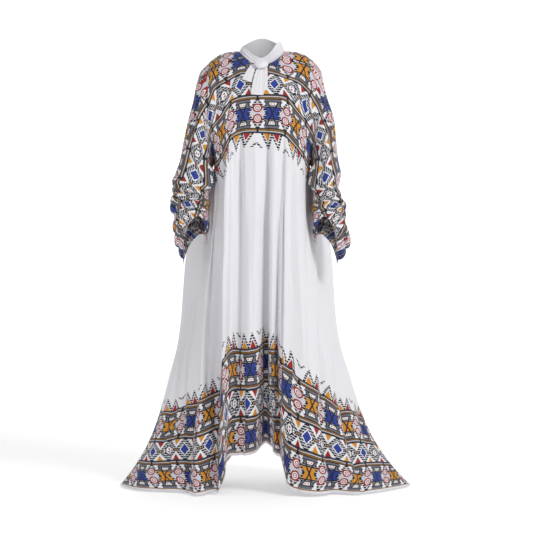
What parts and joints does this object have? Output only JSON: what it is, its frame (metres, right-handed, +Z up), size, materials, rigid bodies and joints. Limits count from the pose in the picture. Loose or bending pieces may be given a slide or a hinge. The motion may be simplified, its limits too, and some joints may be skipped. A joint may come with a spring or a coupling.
{
  "type": "kaftan",
  "caption": "Long, very wide kaftan of light cloth with loose ruched sleeves, a tie collar and a trailing hem, shown as worn, hollow and open.",
  "frame": {"origin": "between the shoulders at the height of the neck, where the garment hangs from its wearer", "axes": "+X to the wearer's left, +Y to the wearer's back, +Z up"},
  "size_m": [0.988, 0.4152, 1.5279],
  "materials": {
    "printed_cloth": "light white crepe with a printed border at chest and hem",
    "sleeve_cloth": "the same crepe, printed all over",
    "plain_cloth": "plain white crepe"
  },
  "bodies": {
    "root": {"front": "printed_cloth", "back": "printed_cloth", "right_sleeve": "sleeve_cloth", "left_sleeve": "sleeve_cloth", "collar": "plain_cloth", "placket": "plain_cloth", "tie_long_end": "plain_cloth", "tie_short_end": "plain_cloth", "tie_knot": "plain_cloth"}
  },
  "joints": []
}
